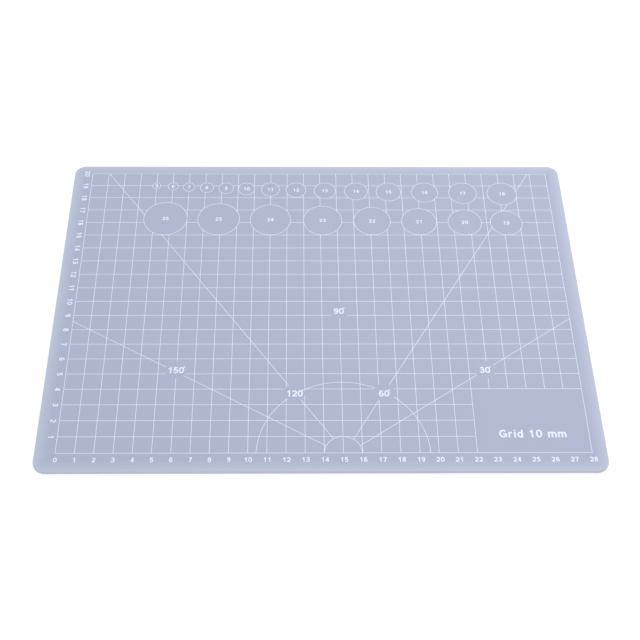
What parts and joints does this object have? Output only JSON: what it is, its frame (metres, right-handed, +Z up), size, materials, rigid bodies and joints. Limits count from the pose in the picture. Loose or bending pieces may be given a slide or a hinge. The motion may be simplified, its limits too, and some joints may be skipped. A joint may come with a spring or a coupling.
{
  "type": "self-healing cutting mat",
  "caption": "Flat three-ply self-healing cutting mat with rounded corners, a printed centimetre grid, protractor and circle templates.",
  "frame": {"origin": "middle of the underside, where the mat lies on the table", "axes": "+Z up through the thickness, +X to the right along the long side, +Y away from the edge with the main rule"},
  "size_m": [0.299, 0.2176, 0.0021],
  "materials": {
    "skin_vinyl": "translucent frosted soft vinyl, lavender blue, fine matt emboss",
    "core_vinyl": "translucent stiff vinyl, paler than the skins",
    "white_ink": "satin white screen-printing ink"
  },
  "bodies": {
    "root": {"bottom_skin": "skin_vinyl", "stiff_core": "core_vinyl", "top_skin": "skin_vinyl", "grid_lines": "white_ink", "circle_template_05mm": "white_ink", "circle_template_06mm": "white_ink", "circle_template_07mm": "white_ink", "circle_template_08mm": "white_ink", "circle_template_09mm": "white_ink", "circle_template_10mm": "white_ink", "circle_template_11mm": "white_ink", "circle_template_12mm": "white_ink", "circle_template_13mm": "white_ink", "circle_template_14mm": "white_ink", "circle_template_15mm": "white_ink", "circle_template_16mm": "white_ink", "circle_template_17mm": "white_ink", "circle_template_18mm": "white_ink", "circle_template_26mm": "white_ink", "circle_template_25mm": "white_ink", "circle_template_24mm": "white_ink", "circle_template_23mm": "white_ink", "circle_template_22mm": "white_ink", "circle_template_21mm": "white_ink", "circle_template_20mm": "white_ink", "circle_template_19mm": "white_ink"}
  },
  "joints": []
}
